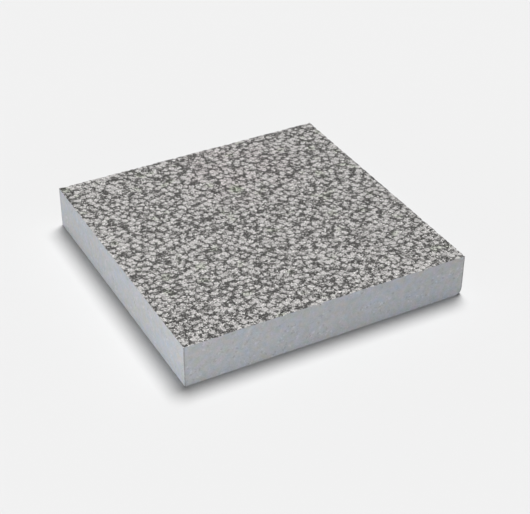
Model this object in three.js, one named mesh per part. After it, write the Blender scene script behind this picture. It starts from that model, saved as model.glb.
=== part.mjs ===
// A square stone slab for leatherwork: one sawn block of stone that lies flat on a bench.
// Its top face is bush-hammered, its four sides and its underside are sawn.
//
// Millimetres, +Z up. The origin is the middle of the underside, X and Y run along the
// sides, and the hammered face looks up.

import * as THREE from 'three';

// Driving dimensions
const SIDE = 200;              // each side of the square
const THICKNESS = 30;          // from the underside to the crests of the hammered face
const ARRIS = 0.4;             // how far the edges round the top and underside are eased
const CORNER_RADIUS = 0.8;     // the four upright edges

// Fineness of the rounded edges
const ARRIS_SEGMENTS = 2;
const CORNER_SEGMENTS = 3;

const STONE = { color: 0x9a9a9b, roughness: 0.85, metalness: 0 };

// The slab's plan: a square, with each corner turned by a quarter circle.
function slabPlan() {
  const half = SIDE / 2;
  const centre = half - CORNER_RADIUS;
  const plan = new THREE.Shape();
  for (let corner = 0; corner < 4; corner += 1) {
    const start = corner * Math.PI / 2;
    const diagonal = start + Math.PI / 4;
    const x = Math.sign(Math.cos(diagonal)) * centre;
    const y = Math.sign(Math.sin(diagonal)) * centre;
    plan.absarc(x, y, CORNER_RADIUS, start, start + Math.PI / 2, false);
  }
  plan.closePath();
  return plan;
}

// The block: the plan carried up through the thickness, with eased edges at both ends.
function stoneSlab() {
  const geometry = new THREE.ExtrudeGeometry(slabPlan(), {
    depth: THICKNESS - 2 * ARRIS,
    steps: 1,
    curveSegments: CORNER_SEGMENTS,
    bevelEnabled: true,
    bevelThickness: ARRIS,
    bevelSize: ARRIS,
    bevelOffset: -ARRIS,
    bevelSegments: ARRIS_SEGMENTS,
  });
  const mesh = new THREE.Mesh(geometry, new THREE.MeshStandardMaterial(STONE));
  mesh.name = 'stone_slab';
  mesh.position.z = ARRIS;
  return mesh;
}

const graniteSlab = new THREE.Group();
graniteSlab.add(stoneSlab());

export default graniteSlab;
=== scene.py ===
# A bush-hammered granite slab on a pale studio floor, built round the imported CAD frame.
#
# The real thing is one block of stone, so there is one piece. Its hammered top, its sawn
# sides and underside and its worn arrises are all real geometry on one closed mesh.
# Metres, +Z up, in the frame's own axes.

import math

import bmesh
import bpy
import numpy as np
from mathutils import Matrix, Vector, noise


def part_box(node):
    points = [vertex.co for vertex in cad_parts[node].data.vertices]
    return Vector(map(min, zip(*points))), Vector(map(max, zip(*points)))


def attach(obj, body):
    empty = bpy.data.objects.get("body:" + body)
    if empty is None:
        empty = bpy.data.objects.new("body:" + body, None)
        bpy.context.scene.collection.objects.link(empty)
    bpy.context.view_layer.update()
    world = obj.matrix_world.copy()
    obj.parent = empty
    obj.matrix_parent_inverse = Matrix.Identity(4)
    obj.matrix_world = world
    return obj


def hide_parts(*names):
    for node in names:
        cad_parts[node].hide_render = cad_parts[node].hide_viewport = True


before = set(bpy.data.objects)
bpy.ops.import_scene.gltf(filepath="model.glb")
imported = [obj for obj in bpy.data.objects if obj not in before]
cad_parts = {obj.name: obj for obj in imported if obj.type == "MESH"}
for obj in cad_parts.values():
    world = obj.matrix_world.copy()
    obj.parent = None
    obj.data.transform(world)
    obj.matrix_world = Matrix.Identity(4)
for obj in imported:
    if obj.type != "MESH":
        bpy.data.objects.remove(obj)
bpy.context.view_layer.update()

MM = 0.001
LOW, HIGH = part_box("stone_slab")
SIDE = HIGH.x - LOW.x

# Hammer marks, in metres and radians
MARK_PITCH = 4.6 * MM          # from one tooth's mark to the next
MARK_SCATTER = 0.8             # how far the teeth stray from even rows, from 0 to 1
MARK_DEPTH = 0.32 * MM         # how far a mark is crushed below the crests
MARK_WOBBLE = 1.1 * MM         # how ragged the marks' outlines are
FINE_PITCH = 0.6 * MARK_PITCH  # a second, finer pass over the first
FINE_CRUSH = 0.6               # how crushed its marks are, with 1 for the first pass
SWING = math.radians(28.5)     # the way that the hammer was swung, round from -X towards +Y
DRAG = 1.07                    # how much longer a mark is that way than a round one
ROWS = math.radians(40)        # from the swing to the rows of teeth

# The finer roughness of the hammered face
PECK_SIZE = 1.6 * MM           # from one small pit to the next
PECK_DEPTH = 0.28 * MM         # how far the deepest of them goes down
CREST_RISE = 0.05 * MM         # brings the crests back up towards the CAD's flat top

# The mesh
TOP_STEP = 0.80 * MM           # between grid lines on the hammered face
SIDE_STEP = 2.0 * MM           # between rows down the sawn sides
ARRIS_STEPS = [0.0, 0.12 * MM, 0.3 * MM, 0.6 * MM, 1.05 * MM]
UNDER_STEPS = [2.0 * MM, 3.2 * MM]

# The arrises, the block's sharp edges
ARRIS_RADIUS = 0.22 * MM       # where the edge is sound
CHIP_RADIUS = 2.0 * MM         # added to it where noise is 1 above the limits below
TOP_CHIP_LIMIT = 0.05          # noise above this chips the top edges
CHIP_LIMIT = 0.6               # noise above this chips the other edges
KNOCKED = [(1, -1, 2.0 * MM)]  # bottom corners that are knocked off: X side, Y side, radius
ARRIS_SHADE_WIDTH = 0.6 * MM          # how far from an upright arris the painted shade fades

# How rough each finish is to the light
SAWN_ROUGHNESS = 0.6
HAMMERED_ROUGHNESS = 0.82

# The sawn stone's drifting tints, and the shares of its grains that are specks
SAWN_BLUE = (0.2144, 0.226, 0.2434, 1.0)
SAWN_GREY = (0.2217, 0.226, 0.2318, 1.0)
MICA_SHARE = 0.1
FELDSPAR_SHARE = 0.13

# Tints in the hammered stone, and where the two plainest patches of them lie
OLIVE = (0.95, 1.0, 0.91, 1.0)
PINK = (1.02, 0.985, 0.995, 1.0)
GREEN_SPOT = (0.04 * SIDE, 0.21 * SIDE)
PINK_AREA = (0.10 * SIDE, 0.33 * SIDE)


def add(tree, kind, inputs=None, **settings):
    """A new node, with its settings, and each input either linked or set to a value."""
    node = tree.nodes.new(kind)
    for name, value in settings.items():
        setattr(node, name, value)
    for socket, value in (inputs or {}).items():
        if isinstance(value, bpy.types.NodeSocket):
            tree.links.new(value, node.inputs[socket])
        else:
            node.inputs[socket].default_value = value
    return node


def sums(tree, operation, a, b=0.0, c=0.0, clamp=False):
    """One step of arithmetic on sockets or numbers."""
    node = add(tree, "ShaderNodeMath", {0: a, 1: b, 2: c}, operation=operation, use_clamp=clamp)
    return node.outputs[0]


def around(tree, share, middle, spread):
    """A share from 0 to 1, turned into values spread evenly about the middle."""
    return sums(tree, "MULTIPLY_ADD", share, spread, middle - spread / 2)


def fade(tree, value, start, end, low=0.0, high=1.0):
    """low up to start, high from end on, and a smooth change between them."""
    node = add(
        tree,
        "ShaderNodeMapRange",
        {"Value": value, "From Min": start, "From Max": end, "To Min": low, "To Max": high},
        interpolation_type="SMOOTHSTEP",
    )
    return node.outputs[0]


def grain(tree, place, size, detail=2.0, roughness=0.5):
    """Noise from 0 to 1 whose features are about size metres across."""
    node = add(
        tree,
        "ShaderNodeTexNoise",
        {"Vector": place, "Scale": 1 / size, "Detail": detail, "Roughness": roughness},
    )
    return node.outputs[0]


def shifted(tree, place, by):
    """The same place, moved sideways, so that two patterns don't line up."""
    return add(tree, "ShaderNodeVectorMath", {0: place, 1: by}, operation="ADD").outputs[0]


def wobbled(tree, place, size, amount):
    """Places pushed about by noise, which makes round outlines ragged."""
    push = add(tree, "ShaderNodeTexNoise", {"Vector": place, "Scale": 1 / size, "Detail": 2.0})
    centred = add(
        tree, "ShaderNodeVectorMath", {0: push.outputs[1], 1: (0.5, 0.5, 0.5)}, operation="SUBTRACT"
    )
    scaled = add(
        tree, "ShaderNodeVectorMath", {0: centred.outputs[0], "Scale": amount}, operation="SCALE"
    )
    return add(
        tree, "ShaderNodeVectorMath", {0: place, 1: scaled.outputs[0]}, operation="ADD"
    ).outputs[0]


def about_z(tree, place, angle):
    """Places turned about the upright axis."""
    return add(
        tree, "ShaderNodeVectorRotate", {"Vector": place, "Angle": angle}, rotation_type="Z_AXIS"
    ).outputs[0]


def along_the_swing(tree, place):
    """Places squeezed along the hammer's swing and spread across it, so marks grow longer."""
    turned = about_z(tree, place, SWING)
    squeezed = add(
        tree, "ShaderNodeVectorMath", {0: turned, 1: (1 / DRAG, DRAG, 1.0)}, operation="MULTIPLY"
    )
    return about_z(tree, squeezed.outputs[0], ROWS)


def teeth(tree, place, pitch, feature):
    """The scattered rows of the hammer's teeth: a cell of the pattern for each tooth."""
    return add(
        tree,
        "ShaderNodeTexVoronoi",
        {"Vector": place, "Scale": 1 / pitch, "Randomness": MARK_SCATTER},
        voronoi_dimensions="2D",
        feature=feature,
    )


def hammer_blows(tree, place, pitch, missed, ragged):
    """One pass of the hammer: how crushed the stone is, from 0 to 1, and each blow's strength.

    missed is the share of the teeth that leave no mark, and ragged is added to each mark's reach.
    Reaches and distances are measured in pitches.
    """
    cells = teeth(tree, place, pitch, "F1")
    gaps = teeth(tree, place, pitch, "DISTANCE_TO_EDGE")
    blow = add(tree, "ShaderNodeSeparateXYZ", {0: cells.outputs["Color"]})
    reach = sums(tree, "MULTIPLY_ADD", blow.outputs[0], 0.2, 0.31)
    reach = sums(tree, "ADD", reach, ragged)
    inside = fade(tree, sums(tree, "SUBTRACT", reach, cells.outputs["Distance"]), -0.16, 0.16)
    # Stone is left standing between neighbouring marks, except where they have run together.
    joined = fade(tree, grain(tree, place, 4 * MM, 1.0), 0.4, 0.6, 0.4, 1.0)
    gap = fade(tree, sums(tree, "ADD", gaps.outputs["Distance"], ragged), -0.06, 0.2, joined, 1.0)
    struck = fade(tree, sums(tree, "SUBTRACT", blow.outputs[1], missed), -0.05, 0.05)
    crushed = sums(tree, "MULTIPLY", sums(tree, "MULTIPLY", inside, gap), struck)
    return crushed, blow.outputs[2]


def hammered(tree, place):
    """How crushed the face is, and its blows' strength: the same for its relief and its colour."""
    place = along_the_swing(tree, place)
    missed = fade(tree, grain(tree, place, 5 * MM, 1.0), 0.4, 0.65, 0.0, 0.35)
    bent = wobbled(tree, place, 2.4 * MM, MARK_WOBBLE)
    ragged = around(tree, grain(tree, place, 1.1 * MM, 2.0, 0.6), 0.0, 0.7)
    first, strength = hammer_blows(tree, bent, MARK_PITCH, missed, ragged)
    aside = shifted(tree, bent, (0.0371, 0.0713, 0.0))
    second = hammer_blows(tree, aside, FINE_PITCH, 0.4, ragged)[0]
    crushed = sums(tree, "MAXIMUM", first, sums(tree, "MULTIPLY", second, FINE_CRUSH))
    return crushed, strength


def stations(length, step):
    """Places along an edge from 0 to length: close together at both ends, even between them."""
    margin = ARRIS_STEPS[-1]
    inner = length - 2 * margin
    count = max(2, round(inner / step))
    middle = [margin + inner * i / count for i in range(1, count)]
    return np.array(ARRIS_STEPS + middle + [length - e for e in reversed(ARRIS_STEPS)])


def block_lattice(low, high):
    """The block's skin before it is shaped: (corners, faces), flat and square.

    The top is a grid. Rings run from its edge down the sides and a little way in under the
    block, where one flat face closes the underside.
    """
    xs = low.x + stations(high.x - low.x, TOP_STEP)
    ys = low.y + stations(high.y - low.y, TOP_STEP)
    zs = high.z - stations(high.z - low.z, SIDE_STEP)
    nx, ny = len(xs), len(ys)
    points = [(x, y, high.z) for y in ys for x in xs]
    faces = []
    for j in range(ny - 1):
        for i in range(nx - 1):
            at = j * nx + i
            faces.append((at, at + 1, at + nx + 1, at + nx))
    edge = [(i, 0) for i in range(nx - 1)]
    edge += [(nx - 1, j) for j in range(ny - 1)]
    edge += [(i, ny - 1) for i in range(nx - 1, 0, -1)]
    edge += [(0, j) for j in range(ny - 1, 0, -1)]
    ring = [j * nx + i for i, j in edge]
    insets = ARRIS_STEPS[1:] + UNDER_STEPS
    rows = [(0.0, z) for z in zs[1:]] + [(inset, zs[-1]) for inset in insets]
    for inset, z in rows:
        start = len(points)
        for i, j in edge:
            x = min(max(xs[i], low.x + inset), high.x - inset)
            y = min(max(ys[j], low.y + inset), high.y - inset)
            points.append((x, y, z))
        below = list(range(start, start + len(edge)))
        for k in range(len(edge)):
            after = (k + 1) % len(edge)
            faces.append((ring[k], below[k], below[after], ring[after]))
        ring = below
    faces.append(tuple(reversed(ring)))
    return np.array(points), faces


def arris_radii(points, low, high):
    """How far the arris is worn at each point: a fine easing, with a chip here and there."""
    radii = np.empty(len(points))
    for k, p in enumerate(points):
        place = Vector(p)
        fine = noise.noise(place / (1.4 * MM))
        broad = noise.noise(place / (5.0 * MM) + Vector((3.1, 1.7, 9.2)))
        near_top = p[2] > high.z - 2 * MM
        limit = TOP_CHIP_LIMIT if near_top else CHIP_LIMIT
        chip = max(0.0, fine * 0.8 + broad * 0.8 - limit)
        radii[k] = ARRIS_RADIUS * (1.0 + 0.5 * fine) + CHIP_RADIUS * chip
        for x_side, y_side, radius in KNOCKED:
            corner = Vector((x_side * high.x, y_side * high.y, low.z))
            nearness = max(0.0, 1.0 - (place - corner).length / (2.2 * radius))
            radii[k] = max(radii[k], radius * (1.0 + 0.3 * broad) * min(1.0, 1.6 * nearness))
    return radii


def rounded(points, low, high):
    """Eases the block's edges by the local radius; also returns how much each point faces up."""
    radii = arris_radii(points, low, high)[:, None]
    inner = np.clip(points, np.array(low) + radii, np.array(high) - radii)
    out = points - inner
    length = np.linalg.norm(out, axis=1, keepdims=True)
    out = out / np.maximum(length, 1e-9)
    return inner + out * radii, out[:, 2]


def upright_arris(points, low, high):
    """1 along the four upright arrises, and 0 away from them."""
    from_low = points[:, :2] - np.array(low)[:2]
    from_high = np.array(high)[:2] - points[:, :2]
    away = np.minimum(from_low, from_high).max(axis=1)
    return np.exp(-((away / ARRIS_SHADE_WIDTH) ** 2))


def put_attribute(mesh, name, values):
    """Stores one number for each point of the mesh, for the material and the relief to read."""
    attribute = mesh.attributes.new(name, "FLOAT", "POINT")
    attribute.data.foreach_set("value", values.astype(np.float32))


def slab_mesh():
    """The block as one closed mesh, with the attributes that its relief and material read."""
    points, faces = block_lattice(LOW, HIGH)
    shaped, up = rounded(points, LOW, HIGH)
    mesh = bpy.data.meshes.new("hammered_slab")
    mesh.from_pydata(shaped.tolist(), [], faces)
    put_attribute(mesh, "top", np.clip(up, 0.0, 1.0))
    put_attribute(mesh, "upright", upright_arris(points, LOW, HIGH))
    joined = bmesh.new()
    joined.from_mesh(mesh)
    bmesh.ops.remove_doubles(joined, verts=joined.verts, dist=0.001 * MM)
    joined.to_mesh(mesh)
    joined.free()
    mesh.update()
    return mesh


def relief_group():
    """Geometry nodes that press the hammer marks into the top face."""
    tree = bpy.data.node_groups.new("hammer_relief", "GeometryNodeTree")
    tree.interface.new_socket("Geometry", in_out="INPUT", socket_type="NodeSocketGeometry")
    tree.interface.new_socket("Geometry", in_out="OUTPUT", socket_type="NodeSocketGeometry")
    start = add(tree, "NodeGroupInput")
    end = add(tree, "NodeGroupOutput")
    place = add(tree, "GeometryNodeInputPosition").outputs[0]
    top = add(tree, "GeometryNodeInputNamedAttribute", {"Name": "top"}, data_type="FLOAT").outputs[0]
    crushed = hammered(tree, place)[0]
    rough = grain(tree, place, PECK_SIZE, 3.0)
    deep = sums(tree, "MULTIPLY_ADD", crushed, -MARK_DEPTH, CREST_RISE)
    uneven = sums(tree, "MULTIPLY_ADD", rough, -PECK_DEPTH, deep)
    lowered = sums(tree, "MULTIPLY", uneven, top)
    offset = add(tree, "ShaderNodeCombineXYZ", {2: lowered}).outputs[0]
    moved = add(tree, "GeometryNodeSetPosition", {"Geometry": start.outputs[0], "Offset": offset})
    tree.links.new(moved.outputs[0], end.inputs[0])
    return tree


def slab():
    """The whole block: mesh, hammered relief and material, hung on the root body, with the CAD node
    that it replaces hidden.
    """
    piece = bpy.data.objects.new("hammered_slab", slab_mesh())
    bpy.context.scene.collection.objects.link(piece)
    relief = piece.modifiers.new("hammer_relief", "NODES")
    relief.node_group = relief_group()
    bpy.context.view_layer.objects.active = piece
    bpy.ops.object.modifier_apply(modifier=relief.name)
    piece.data.materials.append(stone())
    piece.data.polygons.foreach_set("use_smooth", [True] * len(piece.data.polygons))
    piece.data.update()
    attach(piece, "root")
    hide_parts("stone_slab")
    return piece


def new_material(name):
    """An empty material: (material, its tree, its Principled shader, object coordinates)."""
    material = bpy.data.materials.new(name)
    material.use_nodes = True
    tree = material.node_tree
    shader = next(n for n in tree.nodes if n.type == "BSDF_PRINCIPLED")
    place = add(tree, "ShaderNodeTexCoord").outputs["Object"]
    return material, tree, shader, place


def mixed(tree, share, first, second, blend="MIX"):
    """Two colours mixed by share."""
    # The node's colour sockets are its inputs 6 and 7 and its output 2.
    node = add(
        tree,
        "ShaderNodeMix",
        {"Factor": share, 6: first, 7: second},
        data_type="RGBA",
        blend_type=blend,
    )
    return node.outputs[2]


def grey(level, warmth=0.0):
    """A near-neutral colour: level is its brightness, warmth tips it to red or to blue."""
    return (level * (1 + warmth), level, level * (1 - warmth), 1.0)


def patch(tree, place, centre, reach):
    """1 at a place on the hammered face, and 0 from that reach away."""
    away = add(
        tree,
        "ShaderNodeVectorMath",
        {0: place, 1: (centre[0], centre[1], HIGH.z)},
        operation="DISTANCE",
    )
    return fade(tree, away.outputs["Value"], 0.3 * reach, reach, 1.0, 0.0)


def tinted(tree, place, colour):
    """Faint olive spots and one pinkish area, as mineral stains in the stone."""
    elsewhere = shifted(tree, place, (0.3, 0.7, 0.0))
    spots = fade(tree, grain(tree, elsewhere, 13 * MM, 1.0), 0.64, 0.74)
    green = patch(tree, place, GREEN_SPOT, 7 * MM)
    colour = mixed(tree, sums(tree, "MAXIMUM", spots, green), colour, OLIVE, "MULTIPLY")
    # The one plain green spot is tinted twice over.
    colour = mixed(tree, green, colour, OLIVE, "MULTIPLY")
    broken = fade(tree, grain(tree, place, 12 * MM, 1.0), 0.35, 0.55)
    pink = sums(tree, "MULTIPLY", patch(tree, place, PINK_AREA, 60 * MM), broken)
    return mixed(tree, pink, colour, PINK, "MULTIPLY")


def hammered_look(tree, place):
    """Pale crushed points on darker stone, with white flecks that are partly painted glints:
    (colour, height).
    """
    darkest = grey(0.018, 0.05)
    darker = grey(0.042, 0.05)
    crushed_stone = grey(0.33, 0.025)
    fleck_and_glint_white = grey(0.57, 0.025)
    crushed, strength = hammered(tree, place)
    fine = grain(tree, place, 1.0 * MM, 2.0, 0.6)
    middling = grain(tree, place, 1.3 * MM, 1.0)
    # How pale the stone is: its marks, each as pale as its blow was strong, broken up by grains.
    tone = sums(tree, "MULTIPLY", crushed, sums(tree, "MULTIPLY_ADD", strength, 0.35, 0.85))
    tone = sums(tree, "ADD", tone, sums(tree, "MULTIPLY_ADD", fine, 2.4, -1.3))
    tone = sums(tree, "ADD", tone, sums(tree, "MULTIPLY_ADD", middling, 1.5, -0.8), clamp=True)
    # The stone between the marks has two dark tones.
    elsewhere = shifted(tree, place, (0.6, 0.4, 0.8))
    dark = fade(tree, grain(tree, elsewhere, 0.8 * MM, 1.0), 0.4, 0.65)
    dark = mixed(tree, dark, darkest, darker)
    colour = mixed(tree, tone, dark, crushed_stone)
    # White flecks of crushed crystal, partly painted glints: bright spots set into the colour,
    # mostly on the marks.
    strewn = wobbled(tree, shifted(tree, place, (0.5, 0.2, 0.1)), 1.7 * MM, 1.5 * MM)
    flecks_and_glints = fade(tree, grain(tree, strewn, 0.9 * MM, 1.0), 0.6, 0.66)
    flecks_and_glints = sums(tree, "MULTIPLY", flecks_and_glints, fade(tree, crushed, 0.0, 0.5, 0.3, 1.0))
    colour = mixed(tree, flecks_and_glints, colour, fleck_and_glint_white)
    height = sums(tree, "MULTIPLY_ADD", fine, 0.6, sums(tree, "MULTIPLY", middling, 0.4))
    return tinted(tree, place, colour), height


def picked(tree, chance, share):
    """1 in about that share of the cells, by the chance from 0 to 1 that each cell has."""
    return fade(tree, chance, 1 - share, 1.02 - share)


def crystals(tree, place, size):
    """Interlocking grains: (a tone from 0 to 1 for each, 1 in dark mica, 1 in pale feldspar)."""
    cells = add(tree, "ShaderNodeTexVoronoi", {"Vector": place, "Scale": 1 / size})
    cell = add(tree, "ShaderNodeSeparateXYZ", {0: cells.outputs["Color"]})
    mica = picked(tree, cell.outputs[1], MICA_SHARE)
    feldspar = picked(tree, cell.outputs[2], FELDSPAR_SHARE)
    return cell.outputs[0], mica, feldspar


def sawn_look(tree, place):
    """The smooth blue-grey sawn faces: (colour, height)."""
    cloud = grain(tree, place, 22 * MM, 2.0)
    soft = grain(tree, shifted(tree, place, (0.7, 0.3, 0.5)), 4.5 * MM, 1.0)
    clusters = grain(tree, shifted(tree, place, (0.2, 0.6, 0.9)), 9 * MM, 1.0)
    gathered = fade(tree, clusters, 0.45, 0.62, 0.1)
    tone, mica, feldspar = crystals(tree, wobbled(tree, place, 1.0 * MM, 0.6 * MM), 1.3 * MM)
    colour = mixed(tree, fade(tree, cloud, 0.35, 0.65), SAWN_BLUE, SAWN_GREY)
    # Brightness: soft drifts, a tone for each grain, gathered specks, saw streaks and fine grit.
    shade = around(tree, soft, 1.0, 0.16)
    shade = sums(tree, "MULTIPLY", shade, around(tree, tone, 1.0, 0.08))
    shade = sums(tree, "MULTIPLY_ADD", sums(tree, "MULTIPLY", mica, gathered), -0.16, shade)
    shade = sums(tree, "MULTIPLY_ADD", sums(tree, "MULTIPLY", feldspar, gathered), 0.16, shade)
    drawn_out = add(
        tree, "ShaderNodeVectorMath", {0: place, 1: (0.03, 0.03, 1.0)}, operation="MULTIPLY"
    )
    streak = grain(tree, drawn_out.outputs[0], 0.9 * MM, 2.0)
    shade = sums(tree, "MULTIPLY_ADD", streak, 0.03, sums(tree, "SUBTRACT", shade, 0.015))
    fine = grain(tree, place, 0.7 * MM, 3.0, 0.7)
    shade = sums(tree, "MULTIPLY_ADD", fine, 0.6, sums(tree, "SUBTRACT", shade, 0.3))
    # Red and blue drift away from it, which tints the stone here and there.
    ruddy = grain(tree, shifted(tree, place, (0.4, 0.8, 0.2)), 5 * MM, 1.0)
    bluish = grain(tree, shifted(tree, place, (0.9, 0.1, 0.4)), 5 * MM, 1.0)
    red = sums(tree, "MULTIPLY", shade, around(tree, ruddy, 1.0, 0.34))
    blue = sums(tree, "MULTIPLY", shade, around(tree, bluish, 1.0, 0.4))
    shades = add(tree, "ShaderNodeCombineXYZ", {0: red, 1: shade, 2: blue}).outputs[0]
    colour = mixed(tree, 1.0, colour, shades, "MULTIPLY")
    height = sums(tree, "MULTIPLY_ADD", fine, 0.5, sums(tree, "MULTIPLY", streak, 0.5))
    height = sums(tree, "MULTIPLY_ADD", tone, 0.3, height)
    return colour, height


def stone():
    """The one stone: hammered on top, sawn elsewhere, with the change along the top arris."""
    material, tree, shader, place = new_material("stone")
    top = add(tree, "ShaderNodeAttribute", attribute_name="top").outputs["Fac"]
    upright = add(tree, "ShaderNodeAttribute", attribute_name="upright").outputs["Fac"]
    hammered_colour, pecks = hammered_look(tree, place)
    sawn_colour, scratches = sawn_look(tree, place)
    # Painted shade: the sawn colour darkens towards grey along the four upright arrises, broken up
    # by noise.
    broken = fade(tree, grain(tree, place, 3 * MM, 2.0), 0.3, 0.5, 0.6, 1.0)
    painted_arris_shade = sums(tree, "MULTIPLY", upright, broken)
    sawn_colour = mixed(tree, painted_arris_shade, sawn_colour, grey(0.1))
    edge = around(tree, grain(tree, place, 1.2 * MM, 2.0), 0.0, 0.9)
    share = fade(tree, sums(tree, "ADD", top, edge), 0.25, 0.4)
    tree.links.new(mixed(tree, share, sawn_colour, hammered_colour), shader.inputs["Base Color"])
    roughness = fade(tree, share, 0.0, 1.0, SAWN_ROUGHNESS, HAMMERED_ROUGHNESS)
    tree.links.new(roughness, shader.inputs["Roughness"])
    shader.inputs["Specular IOR Level"].default_value = 0.3
    height = sums(tree, "MULTIPLY", pecks, share)
    height = sums(tree, "MULTIPLY_ADD", scratches, sums(tree, "SUBTRACT", 1.0, share), height)
    bump = add(tree, "ShaderNodeBump", {"Height": height, "Strength": 0.5, "Distance": 0.12 * MM})
    tree.links.new(bump.outputs[0], shader.inputs["Normal"])
    return material


def floor():
    """A wide pale floor under the slab."""
    reach = 40.0
    mesh = bpy.data.meshes.new("floor")
    signs = [(-1, -1), (1, -1), (1, 1), (-1, 1)]
    corners = [(x_side * reach, y_side * reach, LOW.z) for x_side, y_side in signs]
    mesh.from_pydata(corners, [], [(0, 1, 2, 3)])
    piece = bpy.data.objects.new("floor", mesh)
    bpy.context.scene.collection.objects.link(piece)
    material, _, shader, _ = new_material("floor_paper")
    shader.inputs["Base Color"].default_value = grey(0.62)
    shader.inputs["Roughness"].default_value = 1.0
    shader.inputs["Specular IOR Level"].default_value = 0.0
    mesh.materials.append(material)


def towards(azimuth, elevation):
    a, e = math.radians(azimuth), math.radians(elevation)
    return Vector((math.sin(a) * math.cos(e), -math.cos(a) * math.cos(e), math.sin(e)))


def sun(name, azimuth, elevation, strength, spread):
    """A distant soft light that shines from that side and height."""
    lamp = bpy.data.lights.new(name, "SUN")
    lamp.energy = strength
    lamp.angle = math.radians(spread)
    light = bpy.data.objects.new(name, lamp)
    light.rotation_euler = towards(azimuth, elevation).to_track_quat("Z", "Y").to_euler()
    bpy.context.scene.collection.objects.link(light)


def surround():
    """A dim surround with a pale band round the horizon, which fades out above it."""
    pale, dim = 0.887, 0.168
    fade_start, fade_end = math.sin(math.radians(9)), math.sin(math.radians(18))
    world = bpy.data.worlds.new("surround")
    bpy.context.scene.world = world
    world.use_nodes = True
    tree = world.node_tree
    back = next(n for n in tree.nodes if n.type == "BACKGROUND")
    direction = add(tree, "ShaderNodeTexCoord").outputs["Generated"]
    height = add(tree, "ShaderNodeSeparateXYZ", {0: direction}).outputs[2]
    level = fade(tree, height, fade_start, fade_end, pale, dim)
    tree.links.new(level, back.inputs[0])


def fill(piece, azimuth, elevation, distance, size, power):
    """A round soft panel on that side and height that lights the piece and not the floor."""
    lamp = bpy.data.lights.new("fill", "AREA")
    lamp.shape = "DISK"
    lamp.size = size
    lamp.energy = power
    light = bpy.data.objects.new("fill", lamp)
    side = towards(azimuth, elevation)
    light.location = side * distance
    light.rotation_euler = side.to_track_quat("Z", "Y").to_euler()
    bpy.context.scene.collection.objects.link(light)
    lit = bpy.data.collections.new("lit_by_fill")
    lit.objects.link(piece)
    light.light_linking.receiver_collection = lit


def camera(azimuth, elevation, roll, distance, aim_right, aim_up, focal_length):
    """A camera on that side and height, aimed a little beside the middle of the underside.

    Angles are in degrees, the focal length is in millimetres for a sensor 36 mm wide, and the
    rest is in metres.
    """
    back = towards(azimuth, elevation)
    roll = math.radians(roll)
    level = (-back).cross(Vector((0, 0, 1))).normalized()
    upright = level.cross(-back)
    right = level * math.cos(roll) + upright * math.sin(roll)
    up = upright * math.cos(roll) - level * math.sin(roll)
    target = right * aim_right + up * aim_up
    lens = bpy.data.cameras.new("camera")
    lens.sensor_width = 36.0
    lens.lens = focal_length
    lens.clip_start = 0.01
    lens.clip_end = 200.0
    eye = bpy.data.objects.new("camera", lens)
    turn = Matrix((right, up, back)).transposed()
    eye.matrix_world = Matrix.Translation(target + back * distance) @ turn.to_4x4()
    bpy.context.scene.collection.objects.link(eye)
    bpy.context.scene.camera = eye


# The camera was fitted to the slab's corners, and the lights to its faces and its shadow.
camera(
    azimuth=-28.49,
    elevation=34.63,
    roll=0.27,
    distance=4.534 * SIDE,
    aim_right=0.0356 * SIDE,
    aim_up=0.0029 * SIDE,
    focal_length=90.65,
)
surround()
sun("key", azimuth=137, elevation=69, strength=4.1, spread=30)
floor()
fill(slab(), azimuth=-55, elevation=9, distance=1.5, size=0.7, power=43)
bpy.context.scene.view_settings.view_transform = "Standard"
